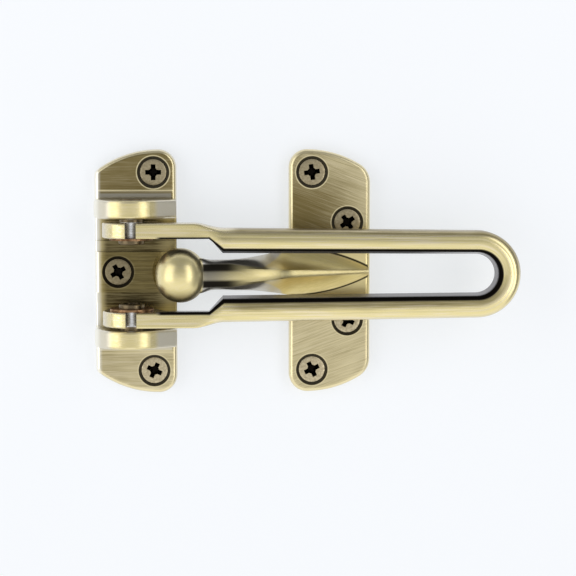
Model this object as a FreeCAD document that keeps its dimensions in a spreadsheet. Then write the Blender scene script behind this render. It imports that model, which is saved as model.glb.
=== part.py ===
import FreeCAD, Part
import math
import os

import Sketcher

# Swing bar door guard, closed. X runs from the frame bracket to the door plate, Y along the
# hinge axis and Z out of the wall. The origin is the middle of the frame bracket's back face.

SIZES = (
    # the two screwed plates, alike and mirrored
    ("plate_length", 70.0),
    ("plate_width", 23.3),
    ("plate_thickness", 4.2),
    ("plate_spacing", 55.6),
    ("corner_radius", 5.2),
    ("sweep_radius", 29.0),
    ("frame_low_corner_radius", 2.0),
    ("door_low_corner_radius", 6.0),
    ("rim_radius", 1.4),
    # the countersunk screws and their places on the plates
    ("outer_screw_spacing", 57.0),
    ("inner_screw_spacing", 28.2),
    ("screw_setoff", 5.1),
    ("screw_hole_diameter", 4.6),
    ("countersink_diameter", 9.2),
    ("head_diameter", 7.5),
    ("head_land", 0.2),
    ("seat_clearance", 0.05),
    ("shank_diameter", 4.2),
    ("thread_diameter", 3.8),
    ("screw_length", 30.0),
    ("screw_tip_length", 4.5),
    ("screw_tip_diameter", 0.5),
    ("recess_span", 4.6),
    ("recess_arm_width", 1.15),
    ("recess_depth", 1.7),
    # the hinge: bar eyes between the ears of the bracket
    ("pin_setback", 1.0),
    ("pin_height", 10.4),
    ("pin_diameter", 6.6),
    ("pin_proud", 0.25),
    ("pin_chamfer", 0.4),
    ("pin_end_diameter", 7.4),
    ("pin_end_length", 1.25),
    ("pin_end_round", 0.45),
    ("pin_hollow_diameter", 4.8),
    ("pin_hollow_depth", 3.0),
    ("running_clearance", 0.05),
    ("press_clearance", 0.01),
    ("washer_diameter", 12.4),
    ("washer_thickness", 0.6),
    ("washer_clearance", 0.05),
    ("eye_radius", 8.2),
    ("eye_gap", 20.7),
    ("eye_thickness", 4.3),
    ("eye_edge_round", 0.5),
    ("eye_web_radius", 3.0),
    ("eye_floor_clearance", 0.9),
    ("split_width", 3.0),
    # the bracket's ears and the floor between them
    ("ear_gap", 1.05),
    ("ear_thickness", 5.3),
    ("ear_height", 16.6),
    ("ear_radius", 10.5),
    ("ear_lip", 0.15),
    ("ear_slope_deg", 33.0),
    ("ear_edge_round", 0.8),
    ("ear_cove_radius", 2.2),
    ("pad_width", 11.6),
    ("step_width", 3.1),
    ("step_height", 2.8),
    ("floor_end_radius", 0.6),
    ("scoop_radius", 13.9),
    # the swing bar
    ("bar_length", 109.8),
    ("bar_height", 7.0),
    ("slot_width", 14.4),
    ("slot_end_width", 13.4),
    ("slot_draft", 1.2),
    ("arm_width", 6.0),
    ("arm_end_width", 5.6),
    ("arm_outer_round", 2.4),
    ("arm_inner_round", 1.1),
    ("arm_lower_round", 0.8),
    ("arm_crown_radius", 3.5),
    ("hinge_arm_length", 17.6),
    ("jog_length", 8.4),
    # the ball arm on the door plate
    ("ball_diameter", 15.3),
    ("ball_width", 14.0),
    ("ball_reach", 42.75),
    ("ball_height", 15.5),
    ("neck_radius", 4.3),
    ("neck_length", 14.3),
    ("neck_droop_deg", 6.4),
    ("foot_width", 13.4),
    ("leaf_radius", 50.0),
    ("leaf_shoulder", 11.6),
    ("tip_inset", 0.5),
    ("tip_height", 5.0),
    ("crest_width", 2.2),
    ("crest_end_width", 1.2),
    ("crest_radius", 2.2),
    ("flank_radius", 12.0),
    ("foot_sink", 2.4),
    ("foot_lip", 0.6),
)

# Quarter turns of the cross recesses, as the screws were left, in degrees
FRAME_SCREW_TURNS = (0.0, 30.0, 65.0)
DOOR_SCREW_TURNS = (8.0, 35.0, 62.0, 25.0)

# Stations along the jog of the bar, as shares of its length, and the share where the inner
# edge starts and ends its slant
JOG_SHARES = (0.0, 0.12, 0.25, 0.4, 0.5, 0.65, 0.8, 0.9, 0.97, 1.0)
SLANT_START = 0.5
SLANT_END = 0.97

# Stations along the round neck, the flare into the foot and the leaf, as shares of the length.
# The corners of the round section are given in degrees from its top.
NECK_SHARES = (0.5, 1.0)
FLARE_SHARES = (0.2, 0.4, 0.55, 0.7, 0.85)
FLARE_POWER = 1.5
LEAF_SHARES = (0.0, 0.2, 0.4, 0.6, 0.76, 0.88, 0.96, 1.0)
HOLLOWING = 1.6
ROUND_CORNERS = (145.0, 100.0, 27.0)

# A quarter-round edge in three steps, as shares of its radius: depth from the face, and inset
EDGE_ROUND_TURNS = (0.0, 30.0, 60.0, 90.0)
EDGE_ROUND_STEPS = tuple(
    (1 - math.cos(math.radians(turn)), 1 - math.sin(math.radians(turn)))
    for turn in EDGE_ROUND_TURNS
)

FULL_TURN = 360.0
COUNTERSINK_ANGLE = 90.0


class Size:
    """A number with the expression that ties it to the sheet."""

    def __init__(self, value, text=None):
        self.value = float(value)
        self.text = text if text is not None else f"({self.value:.9g})"

    @staticmethod
    def of(item):
        return item if isinstance(item, Size) else Size(item)

    def __add__(self, other):
        other = Size.of(other)
        return Size(self.value + other.value, f"({self.text} + {other.text})")

    def __sub__(self, other):
        other = Size.of(other)
        return Size(self.value - other.value, f"({self.text} - {other.text})")

    def __mul__(self, other):
        other = Size.of(other)
        return Size(self.value * other.value, f"({self.text} * {other.text})")

    def __truediv__(self, other):
        other = Size.of(other)
        return Size(self.value / other.value, f"({self.text} / {other.text})")

    def __neg__(self):
        return Size(-self.value, f"(0 - {self.text})")

    def root(self):
        return Size(math.sqrt(self.value), f"sqrt({self.text})")

    def sine(self):
        return Size(math.sin(math.radians(self.value)), f"sin({self.text})")

    def cosine(self):
        return Size(math.cos(math.radians(self.value)), f"cos({self.text})")


ZERO = Size(0)
doc = FreeCAD.newDocument("door_guard")
sheet = doc.addObject("Spreadsheet::Sheet", "Sizes")
size = {}
for row, (alias, millimetres) in enumerate(SIZES, start=1):
    sheet.set(f"A{row}", alias)
    sheet.set(f"B{row}", str(millimetres))
    sheet.setAlias(f"B{row}", alias)
    size[alias] = Size(millimetres, f"Sizes.{alias}")
doc.recompute()


def half(alias):
    return size[alias] / 2


def new_body(name):
    body = doc.addObject("PartDesign::Body", name)
    body.Label = name
    return body


def origin_plane(body, role):
    return next(item for item in body.Origin.OriginFeatures if item.Role == role)


def new_sketch(body, name, role, x=ZERO, y=ZERO, z=ZERO):
    """A sketch on one of the body's planes, shifted in the plane by x and y and off it by z."""
    sketch = body.newObject("Sketcher::SketchObject", name)
    sketch.AttachmentSupport = [(origin_plane(body, role), "")]
    sketch.MapMode = "FlatFace"
    for axis, shift in (("x", x), ("y", y), ("z", z)):
        if shift is not ZERO:
            sketch.setExpression(f"AttachmentOffset.Base.{axis}", shift.text)
    return sketch


def fix(sketch, kind, element, point, amount):
    """One coordinate of a point, measured from the sketch's origin."""
    place = sketch.addConstraint(Sketcher.Constraint(kind, -1, 1, element, point, amount.value))
    sketch.setExpression(f"Constraints[{place}]", amount.text)


def draw(sketch, corners, closed=True):
    """An outline through (x, y) corners. A corner (x, y, radius, turn) starts an arc to the next
    one that turns left for 1 and right for -1, the long way round for 2 and -2."""
    count = len(corners)
    starts, ends = [], []
    for index in range(count if closed else count - 1):
        corner, following = corners[index], corners[(index + 1) % count]
        here = FreeCAD.Vector(Size.of(corner[0]).value, Size.of(corner[1]).value, 0)
        there = FreeCAD.Vector(Size.of(following[0]).value, Size.of(following[1]).value, 0)
        if len(corner) == 2:
            element = sketch.addGeometry(Part.LineSegment(here, there), False)
            starts.append((element, 1))
            ends.append((element, 2))
        else:
            radius, turn = corner[2], corner[3]
            chord = there - here
            side = math.copysign(1, turn) * (1 if abs(turn) == 1 else -1)
            rise = math.sqrt(max(radius.value**2 - chord.Length**2 / 4, 0)) * side
            normal = FreeCAD.Vector(-chord.y, chord.x, 0).normalize()
            centre = (here + there) / 2 + normal * rise
            first, last = (here, there) if turn > 0 else (there, here)
            angles = [math.atan2(p.y - centre.y, p.x - centre.x) for p in (first, last)]
            circle = Part.Circle(centre, FreeCAD.Vector(0, 0, 1), radius.value)
            element = sketch.addGeometry(Part.ArcOfCircle(circle, *angles), False)
            starts.append((element, 1 if turn > 0 else 2))
            ends.append((element, 2 if turn > 0 else 1))
            place = sketch.addConstraint(Sketcher.Constraint("Radius", element, radius.value))
            sketch.setExpression(f"Constraints[{place}]", radius.text)
    for index, (element, point) in enumerate(starts):
        fix(sketch, "DistanceX", element, point, Size.of(corners[index][0]))
        fix(sketch, "DistanceY", element, point, Size.of(corners[index][1]))
        if index or closed:
            sketch.addConstraint(Sketcher.Constraint("Coincident", *ends[index - 1], element, point))
    if not closed:
        fix(sketch, "DistanceX", *ends[-1], Size.of(corners[-1][0]))
        fix(sketch, "DistanceY", *ends[-1], Size.of(corners[-1][1]))
    return sketch


def draw_circle(sketch, x, y, radius):
    centre = FreeCAD.Vector(x.value, y.value, 0)
    circle = Part.Circle(centre, FreeCAD.Vector(0, 0, 1), radius.value)
    element = sketch.addGeometry(circle, False)
    fix(sketch, "DistanceX", element, 3, x)
    fix(sketch, "DistanceY", element, 3, y)
    place = sketch.addConstraint(Sketcher.Constraint("Radius", element, radius.value))
    sketch.setExpression(f"Constraints[{place}]", radius.text)
    return sketch


def extrude(body, kind, sketch, length, backwards=False, both_ways=False):
    """A Pad or a Pocket of the given length, from the sketch or half to each side of it."""
    feature = body.newObject(f"PartDesign::{kind}", f"{sketch.Name}_{kind.lower()}")
    feature.Profile = sketch
    feature.Type = "Length"
    feature.SideType = "Symmetric" if both_ways else "One side"
    feature.Reversed = backwards
    feature.setExpression("Length", length.text)
    doc.recompute()
    return feature


def revolve(body, kind, sketch, axis="V_Axis"):
    """A full Revolution or Groove about the sketch's own upright or level axis."""
    feature = body.newObject(f"PartDesign::{kind}", f"{sketch.Name}_{kind.lower()}")
    feature.Profile = sketch
    feature.ReferenceAxis = (sketch, [axis])
    feature.Angle = FULL_TURN
    doc.recompute()
    return feature


def loft(body, name, sections, ruled):
    feature = body.newObject("PartDesign::AdditiveLoft", name)
    feature.Profile = sections[0]
    feature.Sections = sections[1:]
    feature.Ruled = ruled
    doc.recompute()
    return feature


def round_edges(body, name, radius, chosen):
    """A fillet of the edges of the body so far whose middle point passes the test."""
    base = body.Tip
    names = []
    for number, edge in enumerate(base.Shape.Edges, start=1):
        middle = edge.valueAt((edge.FirstParameter + edge.LastParameter) / 2)
        if chosen(middle, edge):
            names.append(f"Edge{number}")
    feature = body.newObject("PartDesign::Fillet", name)
    feature.Base = (base, names)
    feature.setExpression("Radius", radius.text)
    doc.recompute()
    return feature


def near(one, other):
    return abs(one - other) < 1e-4


# Values that several pieces share

plate_half = half("plate_width")
plate_top = half("plate_length")
pin_x = -size["pin_setback"]
pin_radius = half("pin_diameter")
eye_inner = half("eye_gap")
eye_outer = eye_inner + size["eye_thickness"]
ear_inner = eye_outer + size["ear_gap"]
ear_outer = ear_inner + size["ear_thickness"]
bar_top = size["pin_height"] + size["eye_radius"]
bar_bottom = bar_top - size["bar_height"]
ball_x = size["plate_spacing"] - size["ball_reach"]
washer_outer_face = eye_inner - size["washer_clearance"]
washer_inner_face = washer_outer_face - size["washer_thickness"]
head_sink = (
    (size["countersink_diameter"] - size["head_diameter"]) / 2
    - size["head_land"]
    - size["seat_clearance"] * math.sqrt(2)
)


def make_plate(body, centre, lean, low_radius):
    """The cast plate: square-set edge with two round corners on one long side, and a long sweep
    from each of them down to the other long side. lean is 1 where the corners are at +X."""
    run = size["plate_width"] - size["corner_radius"]
    low = plate_top - size["sweep_radius"] + (
        size["sweep_radius"] * size["sweep_radius"] - run * run
    ).root()
    high = plate_top - size["corner_radius"]
    edge = centre + plate_half * lean
    bend = centre + (plate_half - size["corner_radius"]) * lean
    far = centre - plate_half * lean
    sketch = new_sketch(body, f"{body.Name}_outline", "XY_Plane")
    draw(sketch, (
        (edge, -high),
        (edge, high, size["corner_radius"], lean),
        (bend, plate_top, size["sweep_radius"], lean),
        (far, low),
        (far, -low, size["sweep_radius"], lean),
        (bend, -plate_top, size["corner_radius"], lean),
    ))
    extrude(body, "Pad", sketch, size["plate_thickness"])

    def low_corner(middle, edge_shape):
        return near(middle.x, far.value) and near(abs(middle.y), low.value)

    round_edges(body, f"{body.Name}_low_corners", low_radius, low_corner)

    def rim(middle, edge_shape):
        return near(middle.z, size["plate_thickness"].value)

    round_edges(body, f"{body.Name}_rim", size["rim_radius"], rim)


def screw_holes(body, places):
    """Countersunk clearance holes through the plate."""
    sketch = new_sketch(body, f"{body.Name}_hole_places", "XY_Plane", z=size["plate_thickness"])
    for x, y in places:
        draw_circle(sketch, x, y, half("screw_hole_diameter"))
    doc.recompute()
    hole = body.newObject("PartDesign::Hole", f"{body.Name}_holes")
    hole.Profile = sketch
    hole.DepthType = "ThroughAll"
    hole.ThreadType = "None"
    hole.HoleCutType = "Countersink"
    hole.HoleCutCustomValues = True
    hole.HoleCutCountersinkAngle = COUNTERSINK_ANGLE
    hole.setExpression("Diameter", size["screw_hole_diameter"].text)
    hole.setExpression("HoleCutDiameter", size["countersink_diameter"].text)
    doc.recompute()


frame_screw_places = (
    (size["screw_setoff"], half("outer_screw_spacing")),
    (-size["screw_setoff"], ZERO),
    (size["screw_setoff"], -half("outer_screw_spacing")),
)
door_screw_places = (
    (size["plate_spacing"] - size["screw_setoff"], half("outer_screw_spacing")),
    (size["plate_spacing"] + size["screw_setoff"], half("inner_screw_spacing")),
    (size["plate_spacing"] + size["screw_setoff"], -half("inner_screw_spacing")),
    (size["plate_spacing"] - size["screw_setoff"], -half("outer_screw_spacing")),
)


def ear_section(body, name, y, inset):
    """A section of an ear, set in by a share of its edge rounding: a round crown at the back,
    tangent to a slope that falls to the front edge of the plate."""
    shrink = size["ear_edge_round"] * inset
    radius = size["ear_radius"] - shrink
    reach = radius - size["ear_lip"]
    back_x = shrink - plate_half
    front_x = plate_half - shrink
    root_z = size["plate_thickness"] - size["rim_radius"]
    crown_x = back_x + reach
    crown_z = size["ear_height"] - size["ear_radius"]
    back_z = crown_z + (radius * radius - reach * reach).root()
    slope_x = crown_x + radius * size["ear_slope_deg"].sine()
    slope_z = crown_z + radius * size["ear_slope_deg"].cosine()
    slope = size["ear_slope_deg"].sine() / size["ear_slope_deg"].cosine()
    front_z = slope_z - (front_x - slope_x) * slope
    sketch = new_sketch(body, name, "XZ_Plane", z=-y)
    return draw(sketch, (
        (back_x, root_z),
        (front_x, root_z),
        (front_x, front_z),
        (slope_x, slope_z, radius, 1),
        (back_x, back_z),
    ))


def make_frame_bracket():
    """The casting on the door frame: plate, two ears for the pins, and between them a stepped
    floor that the eyes turn over, with a pad for the middle screw."""
    body = new_body("frame_bracket")
    make_plate(body, ZERO, 1, size["frame_low_corner_radius"])

    # the stepped floor between the ears, open at both edges of the plate
    pad_side = half("pad_width")
    step_side = pad_side + size["step_width"]
    floor_z = size["pin_height"] - size["eye_radius"] - size["eye_floor_clearance"]
    ceiling = size["plate_thickness"] * 2
    right_side = (
        (pad_side, size["plate_thickness"]),
        (pad_side, size["step_height"]),
        (step_side, size["step_height"]),
        (step_side, floor_z),
        (ear_inner, floor_z),
        (ear_inner, ceiling),
    )
    left_side = tuple((-y, z) for y, z in reversed(right_side))
    channel = new_sketch(body, "floor", "YZ_Plane")
    draw(channel, right_side + left_side)
    extrude(body, "Pocket", channel, size["plate_width"] * 2, both_ways=True)

    def floor_end(middle, edge):
        level = near(middle.z, floor_z.value) or near(middle.z, size["step_height"].value)
        return level and near(abs(middle.x), plate_half.value)

    round_edges(body, "floor_ends", size["floor_end_radius"], floor_end)

    # ears, each laid up from its inner face to its outer one with the edges rounded over
    for side, name in ((1, "upper"), (-1, "lower")):
        sections = []
        for place, (depth, inset) in enumerate(EDGE_ROUND_STEPS):
            near_face = ear_inner + size["ear_edge_round"] * depth
            sections.append(ear_section(body, f"{name}_ear_in_{place}", near_face * side, inset))
        for place, (depth, inset) in reversed(list(enumerate(EDGE_ROUND_STEPS))):
            far_face = ear_outer - size["ear_edge_round"] * depth
            sections.append(ear_section(body, f"{name}_ear_out_{place}", far_face * side, inset))
        loft(body, f"{name}_ear", sections, True)

    # coves where the ears rise from the plate
    for side, name in ((1, "upper"), (-1, "lower")):
        foot = ear_outer * side
        cove_end = (ear_outer + size["ear_cove_radius"]) * side
        cove_top = size["plate_thickness"] + size["ear_cove_radius"]
        inside = (ear_outer - size["ear_cove_radius"]) * side
        root = size["plate_thickness"] - size["rim_radius"]
        cove = new_sketch(body, f"{name}_cove", "YZ_Plane")
        draw(cove, (
            (inside, root),
            (cove_end, root),
            (cove_end, size["plate_thickness"], size["ear_cove_radius"], -side),
            (foot, cove_top),
            (inside, cove_top),
        ))
        extrude(body, "Pad", cove, (plate_half - size["rim_radius"]) * 2, both_ways=True)

    # the hollow that leaves room for the ball
    scoop = new_sketch(body, "scoop", "XZ_Plane", x=ball_x, y=size["ball_height"])
    draw(scoop, (
        (ZERO, -size["scoop_radius"]),
        (ZERO, size["scoop_radius"], size["scoop_radius"], 1),
        (-size["scoop_radius"], ZERO, size["scoop_radius"], 1),
    ))
    revolve(body, "Groove", scoop)

    # the bores that hold the pins
    bores = new_sketch(body, "bores", "XZ_Plane")
    draw_circle(bores, pin_x, size["pin_height"], pin_radius + size["press_clearance"])
    extrude(body, "Pocket", bores, ear_outer * 4, both_ways=True)
    screw_holes(body, frame_screw_places)
    return body


def bar_section(body, name, x, inner, outer, rounds, draft, crown):
    """A section of one arm of the bar, with its outer, inner and lower corners rounded, its top
    crowned by a share and its inner wall leaning in by the draft."""
    outer_round, inner_round, lower_round = rounds
    foot = inner - draft
    crown_start = (outer - outer_round, bar_top)
    if crown > 0:
        crown_start += (size["arm_crown_radius"] / crown, 1)
    sketch = new_sketch(body, name, "YZ_Plane", z=x)
    return draw(sketch, (
        (foot + lower_round, bar_bottom),
        (outer - lower_round, bar_bottom, lower_round, 1),
        (outer, bar_bottom + lower_round),
        (outer, bar_top - outer_round, outer_round, 1),
        crown_start,
        (inner + inner_round, bar_top, inner_round, 1),
        (inner, bar_top - inner_round),
        (foot, bar_bottom + lower_round, lower_round, 1),
    ))


def blend(first, last, share):
    return first * (1 - share) + last * share


def make_swing_bar():
    """The casting that swings: two split eyes on flat arms, a jog inwards on each arm, and a
    long loop that the neck of the ball arm slides along."""
    body = new_body("swing_bar")
    arm_inner = half("slot_width")
    arm_outer = arm_inner + size["arm_width"]
    end_inner = half("slot_end_width")
    end_outer = end_inner + size["arm_end_width"]
    jog_x = pin_x + size["hinge_arm_length"]
    loop_x = pin_x + size["bar_length"] - end_outer

    # eye and flat arm, seen along the hinge axis
    drop = bar_bottom - size["pin_height"]
    meet = pin_x + (size["eye_radius"] * size["eye_radius"] - drop * drop).root()
    eye = new_sketch(body, "eye", "XZ_Plane", z=-eye_inner)
    draw(eye, (
        (pin_x, bar_top),
        (jog_x, bar_top),
        (jog_x, bar_bottom),
        (meet, bar_bottom, size["eye_radius"], -2),
    ))
    extrude(body, "Pad", eye, size["eye_thickness"], backwards=True)

    def web(middle, edge):
        return near(middle.x, meet.value) and near(middle.z, bar_bottom.value)

    round_edges(body, "eye_web", size["eye_web_radius"], web)

    def eye_edge(middle, edge):
        on_face = near(middle.y, eye_inner.value) or near(middle.y, eye_outer.value)
        return on_face and middle.x < jog_x.value - size["eye_edge_round"].value

    round_edges(body, "eye_edges", size["eye_edge_round"], eye_edge)

    # the jog, from the flat arm to the rounded one, and the arm that narrows towards the loop
    flat_rounds = (size["eye_edge_round"],) * 3
    arm_rounds = (size["arm_outer_round"], size["arm_inner_round"], size["arm_lower_round"])
    sections = []
    for place, share in enumerate(JOG_SHARES):
        swept = share * share * (3 - 2 * share)
        slanted = min(max((share - SLANT_START) / (SLANT_END - SLANT_START), 0), 1)
        sections.append(bar_section(
            body,
            f"jog_{place}",
            jog_x + size["jog_length"] * share,
            blend(eye_inner, arm_inner, slanted),
            blend(eye_outer, arm_outer, swept),
            [blend(flat, arm, swept) for flat, arm in zip(flat_rounds, arm_rounds)],
            size["slot_draft"] * slanted,
            swept,
        ))
    end = (loop_x, end_inner, end_outer, arm_rounds, size["slot_draft"], 1)
    sections.append(bar_section(body, "arm_end", *end))
    loft(body, "arm", sections, True)

    # half of the loop's round end, then the other half of the bar as its mirror image
    path = new_sketch(body, "loop_path", "XY_Plane", z=bar_bottom)
    draw(path, (
        (loop_x, end_outer, end_outer, -1),
        (loop_x + end_outer, ZERO),
    ), closed=False)
    section = bar_section(body, "loop_section", *end)
    loop = body.newObject("PartDesign::AdditivePipe", "loop")
    loop.Profile = section
    loop.Spine = (path, ["Edge1"])
    doc.recompute()
    whole = body.newObject("PartDesign::Mirrored", "whole_bar")
    whole.TransformMode = "Whole shape"
    whole.MirrorPlane = (origin_plane(body, "XZ_Plane"), [""])
    body.Tip = whole
    doc.recompute()

    # bores and the splits above them
    bores = new_sketch(body, "eye_bores", "XZ_Plane")
    draw_circle(bores, pin_x, size["pin_height"], pin_radius + size["running_clearance"])
    extrude(body, "Pocket", bores, eye_outer * 4, both_ways=True)
    split = new_sketch(body, "eye_splits", "XZ_Plane")
    split_top = bar_top + size["eye_edge_round"]
    left = pin_x - half("split_width")
    right = pin_x + half("split_width")
    draw(split, (
        (left, size["pin_height"]),
        (right, size["pin_height"]),
        (right, split_top),
        (left, split_top),
    ))
    extrude(body, "Pocket", split, eye_outer * 4, both_ways=True)
    return body


def place_on_hinge(body, turned):
    """The piece was made about the body's own Y axis, pointing up or turned to point down."""
    turn = 180 if turned else 0
    body.Placement = FreeCAD.Placement(
        FreeCAD.Vector(pin_x.value, 0, size["pin_height"].value),
        FreeCAD.Rotation(FreeCAD.Vector(0, 0, 1), turn),
    )
    body.setExpression("Placement.Base.x", pin_x.text)
    body.setExpression("Placement.Base.z", size["pin_height"].text)
    doc.recompute()


def make_pin(name, turned):
    """A steel pin pressed into the ear, with a hollow, rolled end that keeps the washer on."""
    body = new_body(name)
    end_radius = half("pin_end_diameter")
    hollow = half("pin_hollow_diameter")
    shoulder = washer_inner_face - size["washer_clearance"]
    inner_end = shoulder - size["pin_end_length"]
    outer_end = ear_outer + size["pin_proud"]
    floor = inner_end + size["pin_hollow_depth"]
    roll = size["pin_end_round"]
    profile = new_sketch(body, f"{name}_profile", "XY_Plane")
    draw(profile, (
        (hollow, inner_end),
        (end_radius - roll, inner_end, roll, 1),
        (end_radius, inner_end + roll),
        (end_radius, shoulder),
        (pin_radius, shoulder),
        (pin_radius, outer_end - size["pin_chamfer"]),
        (pin_radius - size["pin_chamfer"], outer_end),
        (ZERO, outer_end),
        (ZERO, floor),
        (hollow, floor),
    ))
    revolve(body, "Revolution", profile)
    place_on_hinge(body, turned)
    return body


def make_washer(name, turned):
    """A thin friction washer between the eye and the pin's rolled end."""
    body = new_body(name)
    inside = pin_radius + size["washer_clearance"]
    outside = half("washer_diameter")
    profile = new_sketch(body, f"{name}_profile", "XY_Plane")
    draw(profile, (
        (inside, washer_inner_face),
        (outside, washer_inner_face),
        (outside, washer_outer_face),
        (inside, washer_outer_face),
    ))
    revolve(body, "Revolution", profile)
    place_on_hinge(body, turned)
    return body


def make_screw():
    """One countersunk wood screw with a cross recess, its head's face at the body's origin."""
    body = new_body("screw")
    head = half("head_diameter")
    shank = half("shank_diameter")
    thread = half("thread_diameter")
    neck = size["head_land"] + head - shank
    shank_end = size["plate_thickness"] - head_sink
    profile = new_sketch(body, "screw_profile", "XZ_Plane")
    draw(profile, (
        (ZERO, ZERO),
        (ZERO, -size["screw_length"]),
        (half("screw_tip_diameter"), -size["screw_length"]),
        (thread, size["screw_tip_length"] - size["screw_length"]),
        (thread, -shank_end),
        (shank, -shank_end),
        (shank, -neck),
        (head, -size["head_land"]),
        (head, ZERO),
    ))
    revolve(body, "Revolution", profile)
    reach = half("recess_span")
    arm = half("recess_arm_width")
    cross = new_sketch(body, "recess", "XY_Plane")
    quarter = ((reach, -arm), (reach, arm), (arm, arm))
    corners = []
    for turn in range(4):
        for x, y in quarter:
            corners.append((x, y))
        quarter = tuple((-y, x) for x, y in quarter)
    draw(cross, corners)
    extrude(body, "Pocket", cross, size["recess_depth"])
    return body


def make_screws(name, screw, places, turns):
    """The screws of one plate, each turned as it was left."""
    links = []
    head_z = size["plate_thickness"] - head_sink
    for number, ((x, y), turn) in enumerate(zip(places, turns), start=1):
        link = doc.addObject("App::Link", f"{name}_{number}")
        link.LinkedObject = screw
        link.Placement = FreeCAD.Placement(
            FreeCAD.Vector(x.value, y.value, head_z.value),
            FreeCAD.Rotation(FreeCAD.Vector(0, 0, 1), turn),
        )
        link.setExpression("Placement.Base.x", x.text)
        link.setExpression("Placement.Base.y", y.text)
        link.setExpression("Placement.Base.z", head_z.text)
        links.append(link)
    group = doc.addObject("Part::Compound", name)
    group.Label = name
    group.Links = links
    doc.recompute()
    return group


def bend(here, curve):
    """A corner that starts an edge of the given curvature, hollow where it is negative."""
    if near(curve.value, 0):
        return here
    if curve.value > 0:
        return here + (Size(1) / curve, 1)
    return here + (Size(1) / -curve, -1)


def arm_section(body, name, x, axis_z, share, base_half, crest, crest_z):
    """A section of the ball arm that goes by its share from the round neck to the foot, which
    has a flat base, upright sides, hollow flanks and a narrow rounded crest."""
    radius = size["neck_radius"]
    base_z = size["plate_thickness"] - size["foot_sink"]
    lip_z = size["plate_thickness"] + size["foot_lip"]
    foot_corners = ((base_half, base_z), (base_half, lip_z), (crest, crest_z))
    corners = []
    for turn, (foot_y, foot_z) in zip(ROUND_CORNERS, foot_corners):
        round_y = radius * math.sin(math.radians(turn))
        round_z = axis_z + radius * math.cos(math.radians(turn))
        corners.append((blend(round_y, foot_y, share), blend(round_z, foot_z, share)))
    side = Size(1) / radius * (1 - share)
    hollowed = min(share * HOLLOWING, 1)
    flank = Size(1) / radius * (1 - hollowed) - Size(1) / size["flank_radius"] * hollowed
    top = Size(1) / blend(radius, size["crest_radius"] / half("crest_width") * crest, share)
    (low_y, low_z), (lip_y, lip_top), (crest_y, crest_top) = corners
    sketch = new_sketch(body, name, "YZ_Plane", z=x)
    return draw(sketch, (
        bend((-low_y, low_z), side),
        bend((low_y, low_z), side),
        bend((lip_y, lip_top), flank),
        bend((crest_y, crest_top), top),
        bend((-crest_y, crest_top), flank),
        bend((-lip_y, lip_top), side),
    ))


def make_door_plate():
    """The casting on the door: plate, leaf-shaped foot that rises into a round neck, and ball."""
    body = new_body("door_plate")
    centre = size["plate_spacing"]
    make_plate(body, centre, -1, size["door_low_corner_radius"])

    # arm: a round neck that flares into the foot, then a leaf that tapers along the plate
    radius = size["neck_radius"]
    root_x = ball_x + half("ball_width") - radius
    flare_x = ball_x + size["neck_length"]
    shoulder_x = centre - size["leaf_shoulder"]
    tip_x = centre + plate_half - size["tip_inset"]
    droop = size["neck_droop_deg"].sine() / size["neck_droop_deg"].cosine()
    crest_start = (
        size["ball_height"]
        - size["neck_length"] * droop
        + radius * math.cos(math.radians(ROUND_CORNERS[-1]))
    )
    fall = (crest_start - size["tip_height"]) / (tip_x - flare_x)
    foot_half = half("foot_width")
    crest = half("crest_width")
    stations = [(root_x, 0, foot_half, crest)]
    for share in NECK_SHARES:
        stations.append((blend(root_x, flare_x, share), 0, foot_half, crest))
    for share in FLARE_SHARES:
        stations.append((blend(flare_x, shoulder_x, share), share**FLARE_POWER, foot_half, crest))
    for share in LEAF_SHARES:
        along = (tip_x - shoulder_x) * share
        bow = size["leaf_radius"] - (size["leaf_radius"] * size["leaf_radius"] - along * along).root()
        narrow = blend(crest, half("crest_end_width"), share)
        stations.append((shoulder_x + along, 1, foot_half - bow, narrow))
    sections = []
    for place, (x, share, base_half, crest_half) in enumerate(stations):
        axis_z = size["ball_height"] - (x - ball_x) * droop
        crest_z = crest_start - (x - flare_x) * fall
        sections.append(arm_section(body, f"arm_{place}", x, axis_z, share, base_half, crest_half, crest_z))
    loft(body, "ball_arm", sections, False)

    # ball, turned about the line of the neck and a little flattened along it
    swell = half("ball_width")
    flat = half("ball_diameter") - swell
    ball = new_sketch(body, "ball", "XZ_Plane", x=ball_x, y=size["ball_height"])
    draw(ball, (
        (-swell, ZERO),
        (swell, ZERO),
        (swell, flat, swell, 1),
        (ZERO, half("ball_diameter"), swell, 1),
        (-swell, flat),
    ))
    revolve(body, "Revolution", ball, "H_Axis")
    screw_holes(body, door_screw_places)
    return body


screw = make_screw()
pieces = [
    make_frame_bracket(),
    make_swing_bar(),
    make_pin("upper_pivot_pin", False),
    make_pin("lower_pivot_pin", True),
    make_washer("upper_friction_washer", False),
    make_washer("lower_friction_washer", True),
    make_screws("frame_screws", screw, frame_screw_places, FRAME_SCREW_TURNS),
    make_door_plate(),
    make_screws("door_screws", screw, door_screw_places, DOOR_SCREW_TURNS),
]

doc.recompute()
for item in doc.Objects:
    if "Invalid" in item.State or "Error" in item.State:
        raise RuntimeError(f"{item.Name} failed: {item.State}")
os.makedirs("parts", exist_ok=True)
for piece in pieces:
    if piece.Shape.isNull() or not piece.Shape.isValid():
        raise RuntimeError(f"{piece.Label} has no valid shape")
    piece.Shape.exportStep(f"parts/{piece.Label}.step")
    print(piece.Label, len(piece.Shape.Solids), "solids", round(piece.Shape.Volume, 2), "mm3")
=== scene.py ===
import math

import bmesh
import bpy
from mathutils import Matrix, Vector


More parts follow.
